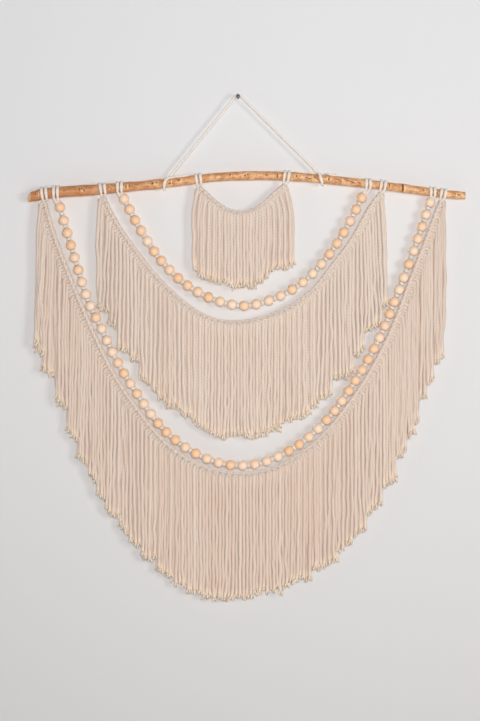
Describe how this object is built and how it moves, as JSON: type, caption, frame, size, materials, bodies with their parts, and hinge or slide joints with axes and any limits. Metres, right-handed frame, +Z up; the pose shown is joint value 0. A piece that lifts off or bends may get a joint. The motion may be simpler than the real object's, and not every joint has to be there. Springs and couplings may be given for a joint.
{
  "type": "macrame wall hanging with branch and nail",
  "caption": "Three scalloped swags of knotted cotton fringe and two wooden bead garlands tied to a peeled branch, hung by a cord over a wall nail.",
  "frame": {"origin": "middle of the nail's flat back end, in the plane of the wall", "axes": "+Y into the wall, +Z up, +X to the viewer's right; the hanging lies at -Y"},
  "size_m": [0.9016, 0.0351, 1.0451],
  "materials": {
    "cotton": "matt twisted cotton cord, undyed cream",
    "bead_wood": "smooth unvarnished turned wood",
    "branch_wood": "peeled and dried bark-brown wood with knots",
    "nail_steel": "dark bright steel"
  },
  "bodies": {
    "root": {"branch": "branch_wood", "nail": "nail_steel", "hanging_cord": "cotton", "swag_outer": "cotton", "swag_middle": "cotton", "swag_inner": "cotton", "garland_outer": "bead_wood", "garland_inner": "bead_wood"}
  },
  "joints": []
}
